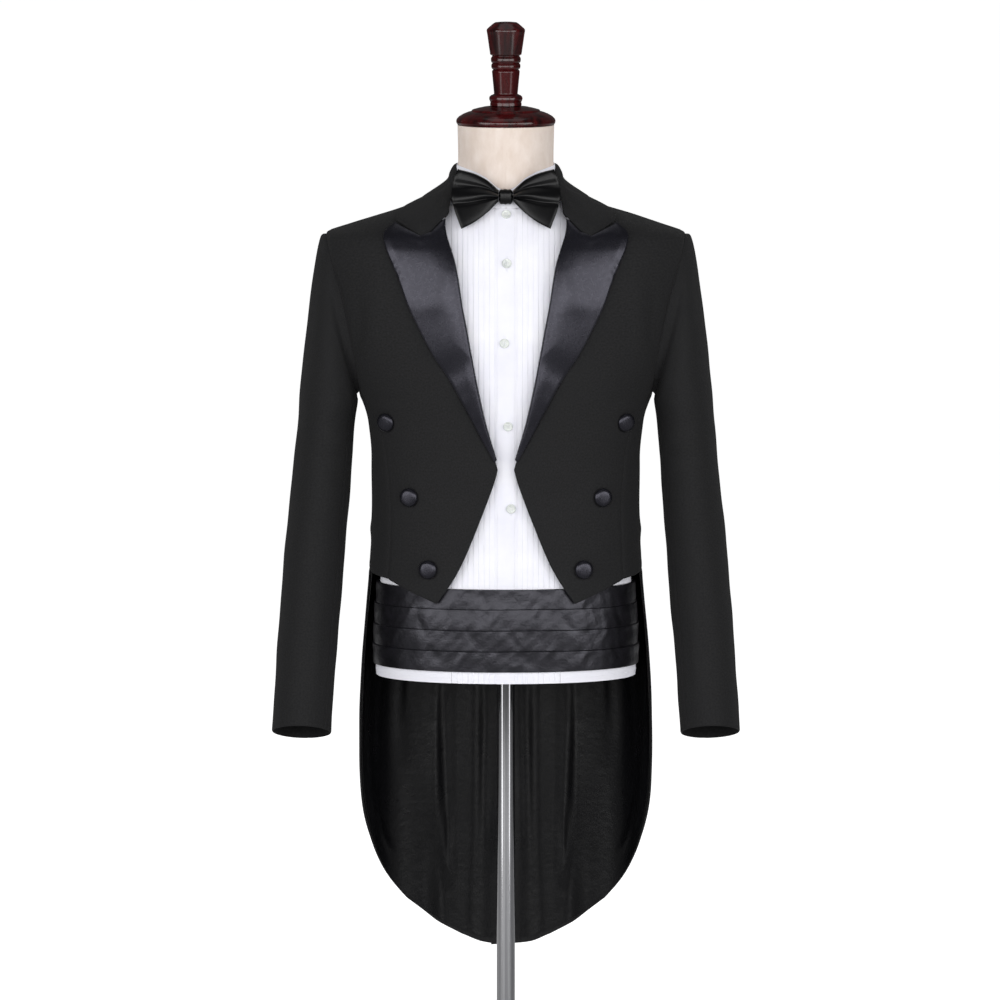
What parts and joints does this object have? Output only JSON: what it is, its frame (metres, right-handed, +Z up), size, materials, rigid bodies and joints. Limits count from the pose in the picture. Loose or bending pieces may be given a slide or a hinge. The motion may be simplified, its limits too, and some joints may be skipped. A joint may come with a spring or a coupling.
{
  "type": "tailcoat suit on a dress form",
  "caption": "Black tailcoat with satin peak lapels over a pleated white dress shirt, bow tie and cummerbund, worn by a limbless dress form on a pole and round base.",
  "frame": {"origin": "centre of the round base's underside, on the pole's axis", "axes": "+Z up along the pole, the suit's front towards -Y, the wearer's left towards +X"},
  "size_m": [0.56, 0.35, 1.5741],
  "materials": {
    "black_wool": "matte black wool-like suiting",
    "black_satin": "black satin with a soft sheen",
    "black_lining": "thin black satin lining",
    "white_cotton": "fine white shirting, matte",
    "pearl_button": "pearly white, glossy",
    "form_linen": "cream linen, matte",
    "red_lacquer": "turned wood with dark red gloss lacquer",
    "chromed_steel": "polished chrome"
  },
  "bodies": {
    "root": {"front_left": "black_wool", "front_right": "black_wool", "side_body_left": "black_wool", "side_body_right": "black_wool", "back_left": "black_wool", "back_right": "black_wool", "skirt_left": "black_wool", "skirt_right": "black_wool", "top_sleeve_left": "black_wool", "top_sleeve_right": "black_wool", "under_sleeve_left": "black_wool", "under_sleeve_right": "black_wool", "collar": "black_wool", "lapel_left": "black_satin", "lapel_right": "black_satin", "coat_button_left_1": "black_satin", "coat_button_left_2": "black_satin", "coat_button_left_3": "black_satin", "coat_button_right_1": "black_satin", "coat_button_right_2": "black_satin", "coat_button_right_3": "black_satin", "skirt_lining_left": "black_lining", "strip_lining_left": "black_lining", "skirt_lining_right": "black_lining", "strip_lining_right": "black_lining", "shirt_bib_left": "white_cotton", "shirt_bib_right": "white_cotton", "shirt_side_left": "white_cotton", "shirt_side_right": "white_cotton", "shirt_back": "white_cotton", "shirt_placket": "white_cotton", "shirt_collar": "white_cotton", "shirt_button_1": "pearl_button", "shirt_button_2": "pearl_button", "shirt_button_3": "pearl_button", "shirt_button_4": "pearl_button", "shirt_button_5": "pearl_button", "cummerbund_front": "black_satin", "cummerbund_band": "black_satin", "bow_wing_left": "black_satin", "bow_wing_right": "black_satin", "bow_knot": "black_satin", "form_torso": "form_linen", "neck_cap": "red_lacquer", "finial": "red_lacquer", "stand_pole": "chromed_steel", "stand_base": "chromed_steel"}
  },
  "joints": []
}
